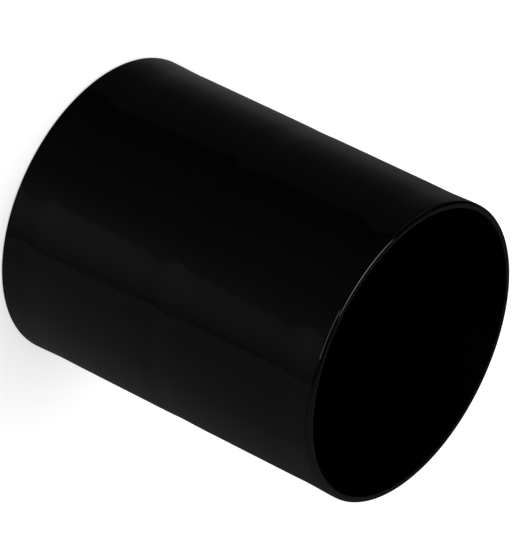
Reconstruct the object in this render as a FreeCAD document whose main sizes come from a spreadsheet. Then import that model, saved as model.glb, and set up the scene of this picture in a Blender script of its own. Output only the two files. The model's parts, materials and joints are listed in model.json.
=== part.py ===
import FreeCAD, Part
import Sketcher
import os
from math import cos, pi, sin

# A straight coupler for 68 mm round rainwater pipe, moulded in black PVC-U as one piece.
# A pipe end slides into a socket from each side and rests on a ridge that runs round the
# inside at mid-length. Each mouth opens with a tapered lead-in, and the outside flares a
# little towards both rims. The piece is modelled about its middle and then stood on its
# lower rim, so that the finished origin lies on the axis in the plane of that rim.

# Driving dimensions, in millimetres
DIMENSIONS = {
    "pipe_diameter": 68.0,  # outside diameter of the pipe that each socket takes
    "socket_clearance": 0.2,  # room left all round that pipe
    "socket_depth": 43.0,  # from a rim down to the foot of the stop ridge
    "wall_thickness": 1.6,  # of the straight barrel
    "lip_flare": 0.2,  # how far the outside stands out at a rim
    "lip_length": 7.5,  # over which it does so
    "lead_in_flare": 0.25,  # how far the bore opens at a mouth
    "lead_in_length": 1.5,  # over which it does so
    "stop_foot_width": 2.8,  # of the ridge where it meets the bore
    "stop_crest_width": 2.2,  # narrower, so that the mould's cores draw out
    "stop_height": 1.5,  # a little less than the wall of the pipe that rests on it
    "stop_chamfer": 0.3,  # on both edges of the crest
    "rim_round": 0.4,  # on the outer edge of a rim
}

# Sizes that follow from them
BORE_RADIUS = "dimensions.pipe_diameter / 2 + dimensions.socket_clearance"
BODY_RADIUS = BORE_RADIUS + " + dimensions.wall_thickness"
LIP_RADIUS = BODY_RADIUS + " + dimensions.lip_flare"
MOUTH_RADIUS = BORE_RADIUS + " + dimensions.lead_in_flare"
CREST_RADIUS = BORE_RADIUS + " - dimensions.stop_height"
HALF_LENGTH = "dimensions.socket_depth + dimensions.stop_foot_width / 2"
BARREL_HALF = HALF_LENGTH + " - dimensions.lip_length"
LEAD_IN_FOOT = HALF_LENGTH + " - dimensions.lead_in_length"
FOOT_HALF = "dimensions.stop_foot_width / 2"
CREST_HALF = "dimensions.stop_crest_width / 2"

# How close an edge's radius and height must come to those of the ring looked for
NEAR = 1e-4

# The numbers that stand for an edge's two ends, and for a section's origin and level axis
START, END = 1, 2
ORIGIN = (-1, 1)
LEVEL_AXIS = -1


def make_sheet(doc):
    """Put the driving dimensions in a sheet, one to a row, each with its name as alias."""
    sheet = doc.addObject("Spreadsheet::Sheet", "dimensions")
    for row, (name, value) in enumerate(DIMENSIONS.items(), start=1):
        sheet.set(f"A{row}", name.replace("_", " "))
        sheet.set(f"B{row}", str(value))
        sheet.setAlias(f"B{row}", name)
    doc.recompute()


def size(doc, expression):
    """What an expression comes to with the sheet's present values."""
    return doc.getObject("dimensions").evalExpression(expression)


def origin_plane(body, role):
    """The body's own origin plane with this role."""
    return next(plane for plane in body.Origin.OriginFeatures if plane.Role == role)


def new_section(body, name, edges):
    """A sketch in a plane through the tube's axis, with radius across and height upwards."""
    sketch = body.newObject("Sketcher::SketchObject", name)
    sketch.AttachmentSupport = (origin_plane(body, "XZ_Plane"), [""])
    sketch.MapMode = "FlatFace"
    sketch.addGeometry(edges, False)
    return sketch


def through(curve, *points):
    """A straight or round edge through points given as a radius and a height."""
    return curve(*[FreeCAD.Vector(radius, height, 0) for radius, height in points])


def polygon(corners):
    """Straight edges from corner to corner and back to the first."""
    return [
        through(Part.LineSegment, corner, following)
        for corner, following in zip(corners, corners[1:] + corners[:1])
    ]


def constrain(sketch, *rules):
    """Add geometric constraints, each given as its kind and what it applies to."""
    for rule in rules:
        sketch.addConstraint(Sketcher.Constraint(*rule))


def bind(sketch, name, kind, first, second, expression):
    """Add a distance between two points of a section, or an edge's radius, tied to the sheet."""
    value = size(sketch.Document, expression)
    index = sketch.addConstraint(Sketcher.Constraint(kind, *first, *second, value))
    sketch.renameConstraint(index, name)
    sketch.setExpression(f"Constraints.{name}", expression)


def turn(body, kind, name, sketch):
    """Turn a section once round the tube's axis."""
    feature = body.newObject(kind, name)
    feature.Profile = sketch
    feature.ReferenceAxis = (sketch, ["V_Axis"])
    feature.Angle = 360
    body.Document.recompute()
    return feature


def find_rings(body, radius, height):
    """The pair of circular edges of this radius, this far above and below the middle."""
    ring_radius, ring_height = size(body.Document, radius), size(body.Document, height)
    rings = []
    for number, edge in enumerate(body.Tip.Shape.Edges, start=1):
        if not isinstance(edge.Curve, Part.Circle):
            continue
        radius_gap = abs(edge.Curve.Radius - ring_radius)
        height_gap = abs(abs(edge.Curve.Center.z) - ring_height)
        if max(radius_gap, height_gap) < NEAR:
            rings.append(f"Edge{number}")
    if len(rings) != 2:
        raise ValueError(f"a pair of rings was looked for and {len(rings)} found")
    return rings


def make_upper_wall(doc, body):
    """The upper half of the wall: a straight bore, and an outside that flares to a round rim."""
    bore, outside, lip = size(doc, BORE_RADIUS), size(doc, BODY_RADIUS), size(doc, LIP_RADIUS)
    end, straight = size(doc, HALF_LENGTH), size(doc, BARREL_HALF)
    rounding = size(doc, "dimensions.rim_round")
    # half-way round the rim's edge, and half-way along the flare, by when it has risen a quarter
    round_middle = (lip - rounding * (1 - cos(pi / 4)), end - rounding * (1 - sin(pi / 4)))
    flare_middle = (outside + (lip - outside) / 4, (end + straight) / 2)
    edges = [
        through(Part.LineSegment, (outside, 0), (bore, 0)),
        through(Part.LineSegment, (bore, 0), (bore, end)),
        through(Part.LineSegment, (bore, end), (lip - rounding, end)),
        through(Part.Arc, (lip, end - rounding), round_middle, (lip - rounding, end)),
        through(Part.Arc, (lip, end - rounding), flare_middle, (outside, straight)),
        through(Part.LineSegment, (outside, straight), (outside, 0)),
    ]
    middle, wall, rim, rim_edge, flare, skin, corner = range(7)
    sketch = new_section(body, "wall_section", edges)
    # where rim and flare would meet if their edge were sharp
    sketch.addGeometry(through(Part.Point, (lip, end)), True)
    constrain(
        sketch,
        ("Coincident", middle, END, wall, START),
        ("Coincident", wall, END, rim, START),
        ("Coincident", skin, END, middle, START),
        ("Tangent", rim, END, rim_edge, END),
        ("Tangent", rim_edge, START, flare, START),
        ("Tangent", flare, END, skin, START),
        ("PointOnObject", wall, START, LEVEL_AXIS),
        ("PointOnObject", corner, START, rim),
        ("PointOnObject", corner, START, flare),
        ("Horizontal", middle),
        ("Horizontal", rim),
        ("Vertical", wall),
        ("Vertical", skin),
    )
    bind(sketch, "bore_radius", "DistanceX", ORIGIN, (wall, END), BORE_RADIUS)
    bind(sketch, "body_radius", "DistanceX", ORIGIN, (skin, START), BODY_RADIUS)
    bind(sketch, "lip_radius", "DistanceX", ORIGIN, (corner, START), LIP_RADIUS)
    bind(sketch, "rim_height", "DistanceY", ORIGIN, (wall, END), HALF_LENGTH)
    bind(sketch, "straight_height", "DistanceY", ORIGIN, (skin, START), BARREL_HALF)
    bind(sketch, "rim_round", "Radius", (rim_edge,), (), "dimensions.rim_round")
    return turn(body, "PartDesign::Revolution", "upper_wall", sketch)


def make_stop(doc, body):
    """The ridge round the inside that a pipe end stops on, with both flanks drafted."""
    foot_radius, crest_radius = size(doc, BORE_RADIUS), size(doc, CREST_RADIUS)
    foot_half, crest_half = size(doc, FOOT_HALF), size(doc, CREST_HALF)
    corners = [
        (foot_radius, -foot_half),
        (foot_radius, foot_half),
        (crest_radius, crest_half),
        (crest_radius, -crest_half),
    ]
    foot, upper_flank, crest, lower_flank = range(4)
    sketch = new_section(body, "stop_section", polygon(corners))
    constrain(
        sketch,
        ("Coincident", foot, END, upper_flank, START),
        ("Coincident", upper_flank, END, crest, START),
        ("Coincident", crest, END, lower_flank, START),
        ("Coincident", lower_flank, END, foot, START),
        ("Symmetric", foot, START, foot, END, LEVEL_AXIS),
        ("Symmetric", crest, START, crest, END, LEVEL_AXIS),
    )
    bind(sketch, "foot_radius", "DistanceX", ORIGIN, (foot, END), BORE_RADIUS)
    bind(sketch, "crest_radius", "DistanceX", ORIGIN, (crest, START), CREST_RADIUS)
    bind(sketch, "foot_half", "DistanceY", ORIGIN, (foot, END), FOOT_HALF)
    bind(sketch, "crest_half", "DistanceY", ORIGIN, (crest, START), CREST_HALF)
    turn(body, "PartDesign::Revolution", "stop_ridge", sketch)


def make_lead_in(doc, body):
    """The tapered lead-in that is cut from the wall at the upper mouth."""
    bore, mouth = size(doc, BORE_RADIUS), size(doc, MOUTH_RADIUS)
    foot, end = size(doc, LEAD_IN_FOOT), size(doc, HALF_LENGTH)
    wall, rim, taper = range(3)
    sketch = new_section(body, "lead_in_section", polygon([(bore, foot), (bore, end), (mouth, end)]))
    constrain(
        sketch,
        ("Coincident", wall, END, rim, START),
        ("Coincident", rim, END, taper, START),
        ("Coincident", taper, END, wall, START),
        ("Vertical", wall),
        ("Horizontal", rim),
    )
    bind(sketch, "bore_radius", "DistanceX", ORIGIN, (wall, END), BORE_RADIUS)
    bind(sketch, "mouth_radius", "DistanceX", ORIGIN, (rim, END), MOUTH_RADIUS)
    bind(sketch, "rim_height", "DistanceY", ORIGIN, (wall, END), HALF_LENGTH)
    bind(sketch, "foot_height", "DistanceY", ORIGIN, (wall, START), LEAD_IN_FOOT)
    uncut = body.Tip.Shape.Volume
    groove = turn(body, "PartDesign::Groove", "upper_lead_in", sketch)
    if not groove.Shape.Volume < uncut:
        raise ValueError("the lead-in cuts nothing from the wall")
    return groove


def mirror_down(doc, body, features):
    """The lower half, as the mirror image of the upper one in the plane at mid-length."""
    mirror = body.newObject("PartDesign::Mirrored", "lower_half")
    mirror.Originals = features
    mirror.MirrorPlane = (origin_plane(body, "XY_Plane"), [""])
    body.Tip = mirror
    doc.recompute()


def chamfer_stop(doc, body):
    """Break both edges of the ridge's crest."""
    base, rings = body.Tip, find_rings(body, CREST_RADIUS, CREST_HALF)
    chamfer = body.newObject("PartDesign::Chamfer", "stop_edges")
    chamfer.Base = (base, rings)
    chamfer.setExpression("Size", "dimensions.stop_chamfer")
    doc.recompute()


def make_coupler(doc):
    """The whole moulding, standing on its lower rim."""
    body = doc.addObject("PartDesign::Body", "coupler")
    body.Label = "coupler"
    wall = make_upper_wall(doc, body)
    lead_in = make_lead_in(doc, body)
    mirror_down(doc, body, [wall, lead_in])
    make_stop(doc, body)
    chamfer_stop(doc, body)
    body.setExpression("Placement.Base.z", HALF_LENGTH)
    doc.recompute()
    return body


def check(doc, parts):
    """Stop on an object that failed, a loose sketch, or a sub-part that isn't one sound solid."""
    for thing in doc.Objects:
        if "Invalid" in thing.State or "Error" in thing.State:
            raise ValueError(f"{thing.Name} failed to build")
    for sketch in doc.findObjects("Sketcher::SketchObject"):
        if not sketch.FullyConstrained:
            raise ValueError(f"{sketch.Name} is not fully constrained")
    for part in parts:
        if part.Shape.isNull() or not part.Shape.isValid() or len(part.Shape.Solids) != 1:
            raise ValueError(f"{part.Label} is not one valid solid")


doc = FreeCAD.newDocument("pipe_coupler")
make_sheet(doc)
parts = [make_coupler(doc)]
check(doc, parts)
os.makedirs("parts", exist_ok=True)
for part in parts:
    part.Shape.exportStep(f"parts/{part.Label}.step")
    box = part.Shape.optimalBoundingBox(False)
    print(f"{part.Label}: {box.XLength:.2f} x {box.YLength:.2f} x {box.ZLength:.2f} mm")
    print(f"{part.Label}: {part.Shape.Volume:.0f} cubic mm")
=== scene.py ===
"""Looks of a moulded pipe coupler: one gloss black sleeve, standing on end on a pale studio floor."""

import json
import math

import bpy
from mathutils import Matrix, Vector


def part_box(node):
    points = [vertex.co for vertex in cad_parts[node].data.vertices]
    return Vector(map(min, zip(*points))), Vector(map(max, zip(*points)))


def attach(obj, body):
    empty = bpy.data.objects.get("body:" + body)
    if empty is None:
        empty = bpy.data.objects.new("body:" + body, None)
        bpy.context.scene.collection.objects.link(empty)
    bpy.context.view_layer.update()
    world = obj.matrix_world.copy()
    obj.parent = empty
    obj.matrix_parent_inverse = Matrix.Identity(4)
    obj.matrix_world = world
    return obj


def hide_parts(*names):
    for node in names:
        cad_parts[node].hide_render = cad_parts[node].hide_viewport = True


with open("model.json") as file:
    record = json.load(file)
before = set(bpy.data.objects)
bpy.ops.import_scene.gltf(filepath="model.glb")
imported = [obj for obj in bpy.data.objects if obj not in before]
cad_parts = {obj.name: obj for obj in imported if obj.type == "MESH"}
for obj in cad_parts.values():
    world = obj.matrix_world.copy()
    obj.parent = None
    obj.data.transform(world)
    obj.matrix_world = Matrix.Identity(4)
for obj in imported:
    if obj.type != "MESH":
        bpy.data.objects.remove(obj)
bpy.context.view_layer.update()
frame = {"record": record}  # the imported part, kept as it is

bl_info = {
    "name": "Pipe Coupler",
    "version": (1, 0, 0),
    "blender": (4, 5, 0),
    "location": "3D View > Sidebar > Coupler",
    "description": "Builds a moulded pipe coupler and the studio it stands in",
    "category": "Add Mesh",
}

MM = 0.001
LOW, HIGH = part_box("coupler")
LENGTH = HIGH.z - LOW.z
LIP_RADIUS = min(-LOW.x, HIGH.x, -LOW.y, HIGH.y)
SOCKET = next(mount for mount in frame["record"]["mounts"] if mount["kind"] == "bore")
BORE_RADIUS = SOCKET["dims"]["r_mm"] * MM
MATH = "ShaderNodeMath"
VECTOR_MATH = "ShaderNodeVectorMath"

# the sleeve
ROUND_STEPS = 6  # points that stand for a rounded corner of the section
BORE_SHARE = 0.3  # share of the wall beyond the mouth that is still divided as bore
RIM_TOLERANCE = 0.01 * MM  # how far from the rim's height an edge of the section still is on it
FINE_STEP = 0.5 * MM  # between section points outside, where lips and shrink mark bend the skin
COARSE_STEP = 2.5 * MM  # between section points along the plain bore
RIM_STEP = 0.15 * MM  # across a rim's flat face, so that its round edges don't shade it
NICK_TURN = 215 / 360  # where the gate's nick crosses the upper rim, in turns from +X
PINCHED = 6  # facets each side of the nick that crowd towards it
CROWDING = 1.5  # how strongly they do
NICK_HALF = 0.0003  # facets this near in turns are cut down
WAVE_LENGTH = 14 * MM  # of the slow waves round the barrel
WAVE_STRETCH = (1 / WAVE_LENGTH, 1 / WAVE_LENGTH, 1 / (3 * WAVE_LENGTH))

# the plastic
FLOW_WIDTH = 22 * MM  # of its flow marks
CORE_RADIUS = BORE_RADIUS + 0.02 * MM  # within which the mould's core made the surface
PVC_IOR = 1.53

# the studio, in metres and degrees unless said otherwise
FLOOR_REACH = 5.0
SOFTBOX_WIDTH = 1.26
SOFTBOX_DISTANCE = 2.2
SOFTBOX_PLACE = (95, 74)  # azimuth and elevation
PLUG_SIDES = 96
SCREEN_COLUMNS = 120
SCREEN_STEP = 2  # between a screen's rows
LEAN_REACH = 25  # from the photograph's elevation, past which a screen's sides lean no further
FILM_WIDTH = 36  # in millimetres, as the lens
CLIP_START, CLIP_END = 0.05, 40
AIM_OFFSET = (0.1 * MM, 0.19 * MM, 0)  # right and up in the picture


def hex_colour(text):
    """The linear red, green, blue and alpha of an sRGB colour written as #rrggbb."""
    shares = [int(text[start : start + 2], 16) / 255 for start in (1, 3, 5)]
    linear = [s / 12.92 if s <= 0.04045 else ((s + 0.055) / 1.055) ** 2.4 for s in shares]
    return (*linear, 1.0)


def add_node(tree, kind, *values, named=None, **settings):
    """Adds a node with its settings. Its inputs, in order or named, get values, links or nodes."""
    node = tree.nodes.new(kind)
    for name, setting in settings.items():
        setattr(node, name, setting)
    given = {place: value for place, value in enumerate(values) if value is not None}
    for key, value in {**given, **(named or {})}.items():
        if isinstance(value, bpy.types.Node):
            value = next(output for output in value.outputs if output.enabled)
        if isinstance(value, bpy.types.NodeSocket):
            tree.links.new(value, node.inputs[key])
        else:
            node.inputs[key].default_value = value
    return node


def length_of(name, description, millimetres, soft_max=10):
    """A length property, shown in the scene's units."""
    return bpy.props.FloatProperty(
        name=name,
        description=description,
        default=millimetres * MM,
        min=0,
        soft_max=soft_max * MM,
        precision=5,
        subtype="DISTANCE",
        unit="LENGTH",
    )


def share_of(name, description, default):
    """A property between 0 and 1."""
    return bpy.props.FloatProperty(
        name=name, description=description, default=default, min=0, max=1, subtype="FACTOR"
    )


def colour_of(name, description, text):
    """A colour property."""
    return bpy.props.FloatVectorProperty(
        name=name,
        description=description,
        default=hex_colour(text),
        size=4,
        min=0,
        max=1,
        subtype="COLOR",
    )


class CouplerSizes(bpy.types.PropertyGroup):
    """The sleeve's sizes, beside its length, bore and lip radius, which the frame gives"""

    wall_thickness: length_of("Wall Thickness", "Wall between bore and barrel", 1.6)
    lip_length: length_of("Lip Length", "How far each flared lip reaches in", 8.6, 40)
    lead_in_length: length_of("Lead-in Length", "Length of the cone at a mouth", 1.5)
    lead_in_flare: length_of("Lead-in Flare", "How much wider a mouth is than the bore", 0.25)
    stop_height: length_of("Stop Height", "How far the pipe stop stands in", 1.5)
    stop_foot_width: length_of("Stop Foot Width", "Width of the pipe stop at the bore", 2.8)
    stop_crest_width: length_of("Stop Crest Width", "Width of the pipe stop's crest", 2.2)
    rim_round: length_of("Rim Round", "Radius of a rim's outer edge", 0.6)
    mouth_round: length_of("Mouth Round", "Radius of a rim's inner edge", 0.02)
    foot_round: length_of("Foot Round", "Radius where the stop meets the bore", 0.5)
    crest_round: length_of("Crest Round", "Radius of the stop's crest edges", 0.3)
    sink_depth: length_of("Sink Depth", "Depth of the shrink mark outside the stop", 0.09)
    sink_width: length_of("Sink Width", "Half width of the shrink mark", 2.3)
    neck_depth: length_of("Neck Depth", "How far the skin draws in behind each lip", 0.04)
    neck_width: length_of("Neck Width", "Half width of the drawn-in skin behind a lip", 2.6)
    unevenness: length_of("Unevenness", "Height of the slow waves in the skin", 0.016)
    nick_depth: length_of("Nick Depth", "Depth of the nick that the gate left in a rim", 0.2)
    facets: bpy.props.IntProperty(
        name="Facets", description="Divisions round the axis", default=288, min=24
    )
    seed: bpy.props.IntProperty(name="Seed", description="Which slow waves are drawn", default=4)


class MouldedPlastic(bpy.types.PropertyGroup):
    """Colour and gloss of the black plastic"""

    body: colour_of("Body", "Black of the moulding", "#020202")
    flow: colour_of("Flow", "Slightly paler black of its flow marks", "#030303")
    smoothest: share_of("Smoothest", "Roughness where the mould was polished best", 0.05)
    dullest: share_of("Dullest", "Roughness where the skin is dullest", 0.08)
    core_dullness: share_of("Core Dullness", "How much rougher the bore is", 0.15)
    peel_width: length_of("Peel Width", "Spacing of the skin's fine waves", 1.4)
    peel_height: length_of("Peel Height", "Height of the skin's fine waves", 0.0006)


class PaleStudio(bpy.types.PropertyGroup):
    """The floor, the light and the camera's place"""

    floor: colour_of("Floor", "Matt floor", "#ededed")
    daylight: bpy.props.FloatProperty(
        name="Daylight", description="Soft light from all round", default=0.6, min=0
    )
    lift: bpy.props.FloatProperty(
        name="Lift", description="White that the camera adds to the lit floor", default=0.5, min=0
    )
    key_light: bpy.props.FloatProperty(
        name="Key Light",
        description="Power of the overhead softbox",
        default=13,
        min=0,
        unit="POWER",
    )
    elevation: bpy.props.FloatProperty(
        name="Elevation",
        description="How far the camera looks down",
        default=math.radians(30.77),
        subtype="ANGLE",
        unit="ROTATION",
    )
    roll: bpy.props.FloatProperty(
        name="Roll",
        description="How far the camera is turned about its line of sight",
        default=math.radians(116),
        subtype="ANGLE",
        unit="ROTATION",
    )
    distance: length_of("Distance", "From the camera to the coupler's middle", 1210.8, 5000)
    lens: bpy.props.FloatProperty(
        name="Lens",
        description="Focal length on 36 mm film",
        default=351.4,
        min=1,
        subtype="DISTANCE_CAMERA",
    )


TREE_LENGTHS = {
    "Length": LENGTH,
    "Bore Radius": BORE_RADIUS,
    "Lip Radius": LIP_RADIUS,
    "Wall Thickness": "wall_thickness",
    "Lip Length": "lip_length",
    "Lead-in Length": "lead_in_length",
    "Lead-in Flare": "lead_in_flare",
    "Stop Height": "stop_height",
    "Stop Foot Width": "stop_foot_width",
    "Stop Crest Width": "stop_crest_width",
    "Rim Round": "rim_round",
    "Mouth Round": "mouth_round",
    "Foot Round": "foot_round",
    "Crest Round": "crest_round",
    "Sink Depth": "sink_depth",
    "Sink Width": "sink_width",
    "Neck Depth": "neck_depth",
    "Neck Width": "neck_width",
    "Unevenness": "unevenness",
    "Nick Depth": "nick_depth",
}


def sleeve_tree():
    """Geometry nodes that draw the wall's section and turn it round the axis."""
    tree = bpy.data.node_groups.new("turned_sleeve", "GeometryNodeTree")
    for name in TREE_LENGTHS:
        socket = tree.interface.new_socket(name, in_out="INPUT", socket_type="NodeSocketFloat")
        socket.subtype = "DISTANCE"
    tree.interface.new_socket("Facets", in_out="INPUT", socket_type="NodeSocketInt")
    tree.interface.new_socket("Seed", in_out="INPUT", socket_type="NodeSocketInt")
    tree.interface.new_socket("Plastic", in_out="INPUT", socket_type="NodeSocketMaterial")
    tree.interface.new_socket("Geometry", in_out="OUTPUT", socket_type="NodeSocketGeometry")
    size = add_node(tree, "NodeGroupInput").outputs

    # five corners of the section's upper half, as radius and height above the middle
    half = add_node(tree, MATH, size["Length"], 0.5, operation="MULTIPLY")
    mouth = add_node(tree, MATH, size["Bore Radius"], size["Lead-in Flare"], operation="ADD")
    crest = add_node(tree, MATH, size["Bore Radius"], size["Stop Height"], operation="SUBTRACT")
    lead_in = add_node(tree, MATH, half, size["Lead-in Length"], operation="SUBTRACT")
    foot_half = add_node(tree, MATH, size["Stop Foot Width"], 0.5, operation="MULTIPLY")
    crest_half = add_node(tree, MATH, size["Stop Crest Width"], 0.5, operation="MULTIPLY")
    corners = (
        (size["Lip Radius"], half, size["Rim Round"]),
        (mouth, half, size["Mouth Round"]),
        (size["Bore Radius"], lead_in, size["Foot Round"]),
        (size["Bore Radius"], foot_half, size["Foot Round"]),
        (crest, crest_half, size["Crest Round"]),
    )

    # ten points, of which the last five mirror the first five
    index = add_node(tree, "GeometryNodeInputIndex")
    mirrored = add_node(tree, MATH, 9, index, operation="SUBTRACT")
    nearest = add_node(tree, MATH, index, mirrored, operation="MINIMUM")
    place = add_node(tree, "GeometryNodeIndexSwitch", nearest, data_type="VECTOR")
    rounding = add_node(tree, "GeometryNodeIndexSwitch", nearest, data_type="FLOAT")
    for number, (radius, height, corner_round) in enumerate(corners, 1):
        if number > 2:
            place.index_switch_items.new()
            rounding.index_switch_items.new()
        corner = add_node(tree, "ShaderNodeCombineXYZ", radius, height)
        tree.links.new(corner.outputs[0], place.inputs[number])
        tree.links.new(corner_round, rounding.inputs[number])
    upper = add_node(tree, MATH, index, 4.5, operation="LESS_THAN")
    side = add_node(tree, MATH, upper, 2, -1, operation="MULTIPLY_ADD")
    mirror = add_node(tree, "ShaderNodeCombineXYZ", 1, side, 1)
    sided = add_node(tree, VECTOR_MATH, place, mirror, operation="MULTIPLY")
    points = add_node(tree, "GeometryNodeMeshLine", named={"Count": 10})
    placed = add_node(tree, "GeometryNodeSetPosition", points, named={"Position": sided})
    outline = add_node(tree, "GeometryNodeMeshToCurve", placed)
    closed = add_node(tree, "GeometryNodeSetSplineCyclic", outline, named={"Cyclic": True})
    rounded = add_node(
        tree,
        "GeometryNodeFilletCurve",
        closed,
        named={"Radius": rounding, "Limit Radius": True, "Count": ROUND_STEPS},
        mode="POLY",
    )

    # the outside and the rims are divided finely, and the bore coarsely
    here = add_node(tree, "GeometryNodeInputPosition")
    ahead = add_node(tree, "GeometryNodeOffsetPointInCurve", named={"Offset": 1})
    there = add_node(
        tree,
        "GeometryNodeFieldAtIndex",
        named={"Index": ahead.outputs["Point Index"], "Value": here},
        data_type="FLOAT_VECTOR",
    )
    gap = add_node(tree, VECTOR_MATH, here, there, operation="DISTANCE")
    both = add_node(tree, VECTOR_MATH, here, there, operation="ADD")
    both_radii = add_node(tree, "ShaderNodeSeparateXYZ", both)
    inner_part = add_node(
        tree, MATH, size["Wall Thickness"], BORE_SHARE, mouth, operation="MULTIPLY_ADD"
    )
    inner_parts = add_node(tree, MATH, inner_part, 2, operation="MULTIPLY")
    is_bore = add_node(tree, MATH, both_radii, inner_parts, operation="LESS_THAN")
    step = add_node(
        tree, MATH, is_bore, COARSE_STEP - FINE_STEP, FINE_STEP, operation="MULTIPLY_ADD"
    )
    both_heights = add_node(tree, MATH, both_radii.outputs["Y"], operation="ABSOLUTE")
    on_rim = add_node(
        tree, MATH, both_heights, size["Length"], RIM_TOLERANCE, operation="COMPARE"
    )
    finer = add_node(tree, MATH, on_rim, RIM_STEP / FINE_STEP - 1, 1, operation="MULTIPLY_ADD")
    chosen_step = add_node(tree, MATH, step, finer, operation="MULTIPLY")
    steps = add_node(tree, MATH, gap, chosen_step, operation="DIVIDE")
    divided = add_node(tree, "GeometryNodeSubdivideCurve", rounded, steps)

    # the lips rise in a soft s, and the skin is drawn in a little outside the stop
    spot = add_node(tree, "ShaderNodeSeparateXYZ", here)
    height = add_node(tree, MATH, spot.outputs["Y"], operation="ABSOLUTE")
    skin = add_node(tree, MATH, size["Bore Radius"], size["Wall Thickness"], operation="ADD")
    rise = add_node(tree, MATH, size["Lip Radius"], skin, operation="SUBTRACT")
    lip_foot = add_node(tree, MATH, half, size["Lip Length"], operation="SUBTRACT")
    under_lip = add_node(
        tree, "ShaderNodeMapRange", height, lip_foot, half, 1, 0, interpolation_type="SMOOTHSTEP"
    )
    lip_drop = add_node(tree, MATH, rise, under_lip, operation="MULTIPLY")
    drop = lip_drop
    for hollow, middle in (("Sink", 0), ("Neck", lip_foot)):
        off_middle = add_node(tree, MATH, height, middle, operation="SUBTRACT")
        widths = add_node(tree, MATH, off_middle, size[hollow + " Width"], operation="DIVIDE")
        squared = add_node(tree, MATH, widths, widths, operation="MULTIPLY")
        exponent = add_node(tree, MATH, squared, -0.5, operation="MULTIPLY")
        bell = add_node(tree, MATH, exponent, operation="EXPONENT")
        drop = add_node(tree, MATH, size[hollow + " Depth"], bell, drop, operation="MULTIPLY_ADD")
    inwards = add_node(tree, MATH, drop, -1, operation="MULTIPLY")
    flat_rim = add_node(tree, MATH, size["Lip Radius"], size["Rim Round"], operation="SUBTRACT")
    is_outer = add_node(tree, MATH, spot, flat_rim, operation="GREATER_THAN")
    shift = add_node(tree, "ShaderNodeCombineXYZ", inwards)
    shaped = add_node(
        tree, "GeometryNodeSetPosition", divided, is_outer, named={"Offset": shift}
    )

    # a ring of the bore's radius, whose first point is at the nick and whose next ones crowd there
    circle = add_node(
        tree,
        "GeometryNodeCurvePrimitiveCircle",
        size["Facets"],
        named={"Radius": size["Bore Radius"]},
    )
    turn = add_node(tree, MATH, index, size["Facets"], operation="DIVIDE")
    reach = add_node(tree, MATH, PINCHED, size["Facets"], operation="DIVIDE")
    nearer = add_node(tree, MATH, turn, 0.5, -0.5, operation="WRAP")
    away = add_node(tree, MATH, nearer, operation="ABSOLUTE")
    share = add_node(tree, MATH, away, reach, operation="DIVIDE", use_clamp=True)
    pinch = add_node(tree, MATH, share, CROWDING, operation="POWER")
    crowded = add_node(tree, MATH, nearer, pinch, NICK_TURN, operation="MULTIPLY_ADD")
    angle = add_node(tree, MATH, crowded, 2 * math.pi, operation="MULTIPLY")
    cosine = add_node(tree, MATH, angle, operation="COSINE")
    sine = add_node(tree, MATH, angle, operation="SINE")
    bearing = add_node(tree, "ShaderNodeCombineXYZ", cosine, sine)
    ring_point = add_node(
        tree, VECTOR_MATH, bearing, named={"Scale": size["Bore Radius"]}, operation="SCALE"
    )
    ring = add_node(tree, "GeometryNodeSetPosition", circle, named={"Position": ring_point})

    # the section is turned round the axis on that ring
    bore_inwards = add_node(tree, MATH, size["Bore Radius"], -1, operation="MULTIPLY")
    to_ring = add_node(tree, "ShaderNodeCombineXYZ", bore_inwards)
    section = add_node(
        tree, "GeometryNodeTransform", shaped, named={"Translation": to_ring}
    )
    turned = add_node(tree, "GeometryNodeCurveToMesh", ring, section)
    lifted = add_node(tree, "ShaderNodeCombineXYZ", 0, 0, half)
    standing = add_node(tree, "GeometryNodeTransform", turned, named={"Translation": lifted})

    # slow waves, which only ever take material away, make its reflections waver
    coordinate = add_node(tree, VECTOR_MATH, here, WAVE_STRETCH, operation="MULTIPLY")
    waves = add_node(
        tree,
        "ShaderNodeTexNoise",
        named={"Vector": coordinate, "W": size["Seed"], "Scale": 1, "Detail": 1},
        noise_dimensions="4D",
    )
    outwards = add_node(tree, VECTOR_MATH, here, (1, 1, 0), operation="MULTIPLY")
    distance = add_node(tree, VECTOR_MATH, outwards, operation="LENGTH")
    barrel = add_node(tree, MATH, distance, flat_rim, operation="GREATER_THAN")
    direction = add_node(tree, VECTOR_MATH, outwards, operation="NORMALIZE")
    depth = add_node(tree, MATH, waves, size["Unevenness"], operation="MULTIPLY")
    into_wall = add_node(tree, MATH, depth, -1, operation="MULTIPLY")
    wave = add_node(
        tree, VECTOR_MATH, direction, named={"Scale": into_wall}, operation="SCALE"
    )
    waved = add_node(
        tree, "GeometryNodeSetPosition", standing, barrel, named={"Offset": wave}
    )

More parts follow.
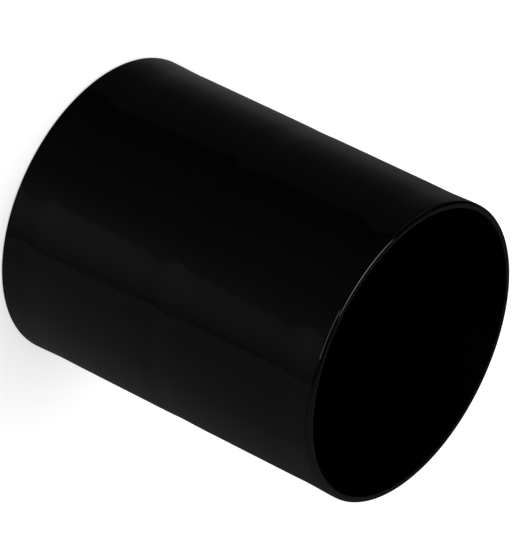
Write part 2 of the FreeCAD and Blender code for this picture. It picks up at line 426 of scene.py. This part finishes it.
    # the gate's nick crosses the upper rim
    axes = add_node(tree, "ShaderNodeSeparateXYZ", here)
    round_axis = add_node(tree, MATH, axes.outputs["Y"], axes.outputs["X"], operation="ARCTAN2")
    in_turns = add_node(tree, MATH, round_axis, 1 / (2 * math.pi), operation="MULTIPLY")
    past = add_node(tree, MATH, in_turns, NICK_TURN, operation="SUBTRACT")
    wrapped = add_node(tree, MATH, past, 0.5, -0.5, operation="WRAP")
    off_nick = add_node(tree, MATH, wrapped, operation="ABSOLUTE")
    at_nick = add_node(tree, MATH, off_nick, NICK_HALF, operation="LESS_THAN")
    nick_floor = add_node(tree, MATH, size["Length"], size["Nick Depth"], operation="SUBTRACT")
    above = add_node(tree, MATH, axes.outputs["Z"], nick_floor, operation="SUBTRACT")
    cut_away = add_node(tree, MATH, above, 0, operation="MAXIMUM")
    cut = add_node(tree, MATH, at_nick, cut_away, operation="MULTIPLY")
    nick_down = add_node(tree, MATH, cut, -1, operation="MULTIPLY")
    notch = add_node(tree, "ShaderNodeCombineXYZ", 0, 0, nick_down)
    nicked = add_node(tree, "GeometryNodeSetPosition", waved, named={"Offset": notch})
    smooth = add_node(tree, "GeometryNodeSetShadeSmooth", nicked)
    real = add_node(tree, "GeometryNodeRealizeInstances", smooth)
    finished = add_node(
        tree, "GeometryNodeSetMaterial", real, named={"Material": size["Plastic"]}
    )
    add_node(tree, "NodeGroupOutput", finished)
    return tree


def moulded_pvc(plastic):
    """Injection-moulded PVC-U, black and glossy from a polished mould.

    It gives the eye sharp dark-edged reflections that waver a little, on an even black.
    """
    material = bpy.data.materials.new("black_moulded_pvc_u")
    material.use_nodes = True
    tree = material.node_tree
    tree.nodes.clear()
    place = add_node(tree, "ShaderNodeTexCoord").outputs["Object"]
    flow = add_node(
        tree,
        "ShaderNodeTexNoise",
        named={"Vector": place, "Scale": 1 / FLOW_WIDTH, "Detail": 3, "Distortion": 0.6},
    )
    black = add_node(
        tree,
        "ShaderNodeMix",
        named={"Factor": flow, 6: tuple(plastic.body), 7: tuple(plastic.flow)},
        data_type="RGBA",
    )
    roughness = add_node(
        tree, "ShaderNodeMapRange", flow, 0.3, 0.7, plastic.smoothest, plastic.dullest
    )
    level = add_node(tree, VECTOR_MATH, place, (1, 1, 0), operation="MULTIPLY")
    radius = add_node(tree, VECTOR_MATH, level, operation="LENGTH")
    in_bore = add_node(tree, MATH, radius, CORE_RADIUS, operation="LESS_THAN")
    finish = add_node(
        tree, MATH, in_bore, plastic.core_dullness, roughness, operation="MULTIPLY_ADD"
    )
    peel = add_node(
        tree,
        "ShaderNodeTexNoise",
        named={"Vector": place, "Scale": 1 / plastic.peel_width, "Detail": 1},
    )
    skin = add_node(
        tree,
        "ShaderNodeBump",
        named={"Strength": 1, "Distance": plastic.peel_height, "Height": peel},
    )
    shader = add_node(
        tree,
        "ShaderNodeBsdfPrincipled",
        named={
            "Base Color": black.outputs[2],
            "Roughness": finish,
            "IOR": PVC_IOR,
            "Normal": skin,
        },
    )
    add_node(tree, "ShaderNodeOutputMaterial", shader)
    return material


class MESH_OT_coupler_sleeve(bpy.types.Operator):
    """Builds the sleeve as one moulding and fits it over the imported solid"""

    bl_idname = "mesh.coupler_sleeve"
    bl_label = "Coupler Sleeve"
    bl_options = {"REGISTER", "UNDO"}

    def execute(self, context):
        sizes = context.scene.coupler_sizes
        sleeve = bpy.data.objects.new("coupler_sleeve", bpy.data.meshes.new("empty_sleeve"))
        context.scene.collection.objects.link(sleeve)
        modifier = sleeve.modifiers.new("turned_sleeve", "NODES")
        modifier.node_group = sleeve_tree()
        inputs = {
            name: getattr(sizes, value) if isinstance(value, str) else value
            for name, value in TREE_LENGTHS.items()
        }
        inputs["Facets"] = sizes.facets
        inputs["Seed"] = sizes.seed
        inputs["Plastic"] = moulded_pvc(context.scene.coupler_plastic)
        for socket in modifier.node_group.interface.items_tree:
            if socket.in_out == "INPUT":
                modifier[socket.identifier] = inputs[socket.name]
        sleeve.update_tag()
        evaluated = sleeve.evaluated_get(context.evaluated_depsgraph_get())
        mesh = bpy.data.meshes.new_from_object(evaluated)
        if not mesh.polygons:
            raise RuntimeError("the sleeve's tree gave no faces")
        sleeve.modifiers.clear()
        sleeve.data = mesh
        mesh.name = "coupler_sleeve"
        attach(sleeve, "root")
        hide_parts("coupler")
        return {"FINISHED"}


def direction_at(azimuth, elevation):
    """The direction at an azimuth, counted from the camera's side towards -X, and an elevation."""
    azimuth, elevation = math.radians(azimuth), math.radians(elevation)
    level = math.cos(elevation)
    return Vector((-math.sin(azimuth) * level, -math.cos(azimuth) * level, math.sin(elevation)))


def between_stops(stops, at):
    """The value at a place in a list of (place, value), straight between them."""
    for (start, first), (end, last) in zip(stops, stops[1:]):
        if at <= end:
            return first + (last - first) * (at - start) / (end - start)
    return stops[-1][1]


def round_the_room(*stops):
    """Turns stops of (azimuth, glow) into stops of (share of the way round, glow)."""
    return tuple(((azimuth + 180) / 360, glow) for azimuth, glow in stops)


# What the gloss sees: big cloth screens in a dark room. Each has two sides, as azimuths at the
# photograph's elevation and how they lean per degree of height, its glow at shares of the way
# across, how that changes with elevation, and its distance in metres.
SIGHT_ELEVATION = -30.8
LEFT_SIDE = (74.4, 1.3)
GAP_SIDE = (-17.9, -0.9)
JOINT = (-52, 0.9)
BACK, FRONT = (180, 0), (-180, 0)
RIM_SIDES = (150, 0), (210, 0)
FAR, NEAR = 8.0, 0.4
SCREENS = {
    "dark_room": (
        (FRONT, BACK),
        ((0, 0.003), (1, 0.003)),
        ((-90, 1), (90, 1)),
        9.0,
    ),
    "left_screen": (
        (LEFT_SIDE, BACK),
        (
            (0, 0.028),
            (0.3, 0.031),
            (0.43, 0.042),
            (0.53, 0.05),
            (0.62, 0.068),
            (0.72, 0.058),
            (0.81, 0.034),
            (1, 0.02),
        ),
        ((-90, 1.05), (-36, 1.05), (-26, 0.95), (-20, 0.5), (-12, 0)),
        FAR,
    ),
    "grey_drape": (
        (GAP_SIDE, LEFT_SIDE),
        ((0, 0.064), (0.3, 0.043), (0.6, 0.027), (0.85, 0.014), (1, 0.005)),
        ((-90, 0.9), (-36, 0.9), (-26, 1.1), (-16, 0.5), (-6, 0)),
        FAR,
    ),
    "right_screen": (
        (GAP_SIDE, JOINT),
        ((0, 0.105), (0.37, 0.115), (0.65, 0.095), (0.83, 0.075), (1, 0.052)),
        ((-90, 1.1), (-36, 1.1), (-26, 0.9), (18, 0.9)),
        FAR,
    ),
    "front_screen": (
        (JOINT, FRONT),
        (
            (0, 0.1),
            (0.06, 0.09),
            (0.37, 0.075),
            (0.53, 0.068),
            (0.69, 0.046),
            (0.77, 0.034),
            (0.84, 0.024),
            (1, 0.02),
        ),
        ((-90, 1.05), (-36, 1.05), (-26, 0.95), (-20, 0.5), (-12, 0)),
        FAR,
    ),
    "right_ceiling": (
        ((-180, 0), (-40, 0)),
        ((0, 0), (0.2, 0.12), (0.79, 0.12), (1, 0)),
        ((-18, 0), (-10, 1), (60, 1), (75, 0)),
        7.5,
    ),
    "back_ceiling": (
        ((-175, 0), (-110, 0)),
        ((0, 0.05), (0.5, 0.09), (1, 0.09)),
        ((36, 0), (38, 1), (90, 1)),
        7.8,
    ),
    # stands low at one side, where it shows in level views and just touches the near rim
    "side_softbox": (
        ((60, 0), (115, 0)),
        ((0, 0), (0.25, 0.2), (0.75, 0.2), (1, 0)),
        ((-22, 0), (-18, 1), (-6, 1), (-2, 0)),
        7.0,
    ),
    "low_window": (
        ((-30, 0), (5, 0)),
        ((0, 2.0), (1, 2.0)),
        ((-6, 1), (12, 1)),
        5.0,
    ),
    # veils stand close by, so that their glow changes along the coupler, not at each bend in it
    "side_veil": (
        (FRONT, BACK),
        round_the_room(
            (-180, 0.015),
            (-160, 0.02),
            (-150, 0.026),
            (-140, 0.024),
            (-110, 0.035),
            (-80, 0.035),
            (-62, 0.012),
            (-45, 0.012),
            (-25, 0.035),
            (-12, 0.03),
            (0, 0),
            (110, 0),
            (130, 0.036),
            (140, 0.042),
            (150, 0.063),
            (160, 0.075),
            (180, 0.06),
        ),
        ((-37, 1), (-20, 0)),
        NEAR,
    ),
    "rim_veil": (
        RIM_SIDES,
        ((0, 0), (0.25, 0.075), (0.75, 0.075), (1, 0)),
        ((31.9, 0), (32.2, 1), (36.5, 1), (38, 0.7), (46, 0.3), (50, 0)),
        NEAR,
    ),
    "rim_veil_foot": (
        RIM_SIDES,
        ((0, 0), (0.25, 0.075), (0.46, 0.075), (0.487, 0), (0.555, 0), (0.583, 0.075), (1, 0)),
        ((30.5, 0), (30.8, 1), (31.9, 1), (32.2, 0)),
        NEAR,
    ),
}


def add_stage_mesh(context, name, vertices, faces, material):
    """Adds a piece of the studio, which isn't part of the coupler."""
    mesh = bpy.data.meshes.new(name)
    mesh.from_pydata(vertices, [], faces)
    mesh.materials.append(material)
    obj = bpy.data.objects.new(name, mesh)
    context.scene.collection.objects.link(obj)
    return obj


def show_to_gloss_only(obj):
    """Hides a piece of the studio from all but what gloss reflects."""
    obj.visible_camera = False
    obj.visible_diffuse = False
    obj.visible_transmission = False
    obj.visible_volume_scatter = False
    obj.visible_shadow = False


def add_screen(context, name, rows, distance, material):
    """Adds a curved screen from rows of azimuth, elevation and glow. Only the gloss sees it."""
    centre = Vector((0, 0, LENGTH / 2))
    vertices = [
        centre + direction_at(azimuth, elevation) * distance
        for row in rows
        for azimuth, elevation, glow in row
    ]
    width = len(rows[0])
    faces = [
        (low + column, low + column + 1, low + width + column + 1, low + width + column)
        for low in range(0, width * (len(rows) - 1), width)
        for column in range(width - 1)
    ]
    screen = add_stage_mesh(context, name, vertices, faces, material)
    attribute = screen.data.attributes.new("glow", "FLOAT", "POINT")
    attribute.data.foreach_set("value", [glow for row in rows for azimuth, elevation, glow in row])
    show_to_gloss_only(screen)


def screen_rows(sides, glow, rise):
    """The rows of a screen between two leaning sides."""
    (first, first_lean), (last, last_lean) = sides
    levels = [elevation for elevation, share in rise]
    between = range(math.ceil(levels[0]), math.ceil(levels[-1]), SCREEN_STEP)
    rows = []
    for elevation in sorted({*levels, *between}):
        height = max(-LEAN_REACH, min(LEAN_REACH, elevation - SIGHT_ELEVATION))
        start = first + first_lean * height
        end = last + last_lean * height
        strength = between_stops(rise, elevation)
        shares = [column / SCREEN_COLUMNS for column in range(SCREEN_COLUMNS + 1)]
        rows.append(
            [
                (start + (end - start) * share, elevation, between_stops(glow, share) * strength)
                for share in shares
            ]
        )
    return rows


def glowing_cloth(name, clear):
    """Backlit cloth, opaque or so thin that it only adds its glow: the soft bands in the gloss."""
    material = bpy.data.materials.new(name)
    material.use_nodes = True
    tree = material.node_tree
    tree.nodes.clear()
    glow = add_node(tree, "ShaderNodeAttribute", attribute_name="glow")
    light = add_node(tree, "ShaderNodeEmission", named={"Strength": glow.outputs["Fac"]})
    if clear:
        thin = add_node(tree, "ShaderNodeBsdfTransparent")
        light = add_node(tree, "ShaderNodeAddShader", light, thin)
    add_node(tree, "ShaderNodeOutputMaterial", light)
    return material


def seen_directly(tree):
    """1 for what the camera sees itself, in gloss or through something clear."""
    path = add_node(tree, "ShaderNodeLightPath").outputs
    mirrored = add_node(
        tree, MATH, path["Is Camera Ray"], path["Is Glossy Ray"], operation="MAXIMUM"
    )
    return add_node(tree, MATH, mirrored, path["Is Transmission Ray"], operation="MAXIMUM")


def matt_floor(studio):
    """Matt white laminate: an even pale ground that keeps a soft shadow."""
    material = bpy.data.materials.new("matt_white_laminate")
    material.use_nodes = True
    tree = material.node_tree
    tree.nodes.clear()
    surface = add_node(
        tree,
        "ShaderNodeBsdfPrincipled",
        named={"Base Color": tuple(studio.floor), "Roughness": 0.9},
    )
    lift = add_node(tree, MATH, seen_directly(tree), studio.lift, operation="MULTIPLY")
    white = add_node(tree, "ShaderNodeEmission", named={"Strength": lift})
    both = add_node(tree, "ShaderNodeAddShader", surface, white)
    add_node(tree, "ShaderNodeOutputMaterial", both)
    return material


def pale_world(studio):
    """A white room where it is seen, and soft daylight on what stands in it."""
    world = bpy.data.worlds.new("pale_room")
    world.use_nodes = True
    tree = world.node_tree
    tree.nodes.clear()
    strength = add_node(
        tree, "ShaderNodeMapRange", seen_directly(tree), 0, 1, studio.daylight, 1
    )
    light = add_node(tree, "ShaderNodeBackground", named={"Strength": strength})
    light.inputs["Color"].default_value = (1, 1, 1, 1)
    add_node(tree, "ShaderNodeOutputWorld", light)
    return world


class SCENE_OT_coupler_studio(bpy.types.Operator):
    """Sets up the pale floor, the soft light, the screens that the gloss sees and the camera"""

    bl_idname = "scene.coupler_studio"
    bl_label = "Coupler Studio"
    bl_options = {"REGISTER", "UNDO"}

    def execute(self, context):
        studio = context.scene.coupler_studio
        scene = context.scene
        scene.world = pale_world(studio)
        corners = ((-1, -1), (1, -1), (1, 1), (-1, 1))
        floor = add_stage_mesh(
            context,
            "floor",
            [(x * FLOOR_REACH, y * FLOOR_REACH, 0) for x, y in corners],
            [(0, 1, 2, 3)],
            matt_floor(studio),
        )
        # the gloss looks past the floor at the dark room, as the photographed one does
        floor.visible_glossy = False
        screen_cloth = glowing_cloth("backlit_screen_cloth", False)
        veil_cloth = glowing_cloth("thin_veil_cloth", True)
        for name, (sides, glow, rise, distance) in SCREENS.items():
            cloth = veil_cloth if distance == NEAR else screen_cloth
            add_screen(context, name, screen_rows(sides, glow, rise), distance, cloth)
        # painted shade: the bore's gloss ends at a black disc under it, seen only in gloss, which
        # stands for the shade inside a real one; it has no glow, so the cloth shows it black
        turns = [2 * math.pi * step / PLUG_SIDES for step in range(PLUG_SIDES)]
        plug = add_stage_mesh(
            context,
            "painted_shade_plug",
            [(BORE_RADIUS * math.cos(a), BORE_RADIUS * math.sin(a), -MM) for a in turns],
            [tuple(range(PLUG_SIDES))],
            screen_cloth,
        )
        show_to_gloss_only(plug)

        lamp = bpy.data.lights.new("overhead_softbox", "AREA")
        lamp.shape = "DISK"
        lamp.size = SOFTBOX_WIDTH
        lamp.energy = studio.key_light
        softbox = bpy.data.objects.new("overhead_softbox", lamp)
        scene.collection.objects.link(softbox)
        softbox.location = direction_at(*SOFTBOX_PLACE) * SOFTBOX_DISTANCE
        softbox.rotation_euler = (-softbox.location).to_track_quat("-Z", "Y").to_euler()
        softbox.visible_camera = False

        lens = bpy.data.cameras.new("photo_camera")
        lens.lens = studio.lens
        lens.sensor_width = FILM_WIDTH
        lens.sensor_fit = "AUTO"
        lens.clip_start = CLIP_START
        lens.clip_end = CLIP_END
        camera = bpy.data.objects.new("photo_camera", lens)
        scene.collection.objects.link(camera)
        look = Matrix.Rotation(math.pi / 2 - studio.elevation, 4, "X")
        look = look @ Matrix.Rotation(studio.roll, 4, "Z")
        aim = Vector((0, 0, LENGTH / 2)) + look @ Vector(AIM_OFFSET)
        camera.matrix_world = Matrix.Translation(aim) @ look @ Matrix.Translation(
            (0, 0, studio.distance)
        )
        scene.camera = camera
        scene.view_settings.view_transform = "Standard"
        return {"FINISHED"}


class VIEW3D_PT_coupler(bpy.types.Panel):
    """Lists the coupler's sizes, plastic and studio"""

    bl_idname = "VIEW3D_PT_coupler"
    bl_label = "Pipe Coupler"
    bl_space_type = "VIEW_3D"
    bl_region_type = "UI"
    bl_category = "Coupler"

    def draw(self, context):
        groups = (
            (MESH_OT_coupler_sleeve, (context.scene.coupler_sizes, context.scene.coupler_plastic)),
            (SCENE_OT_coupler_studio, (context.scene.coupler_studio,)),
        )
        for operator, settings in groups:
            column = self.layout.column(align=True)
            for group in settings:
                for name in group.__annotations__:
                    column.prop(group, name)
            column.operator(operator.bl_idname)


CLASSES = (
    CouplerSizes,
    MouldedPlastic,
    PaleStudio,
    MESH_OT_coupler_sleeve,
    SCENE_OT_coupler_studio,
    VIEW3D_PT_coupler,
)


def register():
    for cls in CLASSES:
        bpy.utils.register_class(cls)
    bpy.types.Scene.coupler_sizes = bpy.props.PointerProperty(type=CouplerSizes)
    bpy.types.Scene.coupler_plastic = bpy.props.PointerProperty(type=MouldedPlastic)
    bpy.types.Scene.coupler_studio = bpy.props.PointerProperty(type=PaleStudio)


def unregister():
    del bpy.types.Scene.coupler_studio
    del bpy.types.Scene.coupler_plastic
    del bpy.types.Scene.coupler_sizes
    for cls in reversed(CLASSES):
        bpy.utils.unregister_class(cls)


def main():
    register()
    bpy.ops.mesh.coupler_sleeve()
    bpy.ops.scene.coupler_studio()


if __name__ == "__main__":
    main()
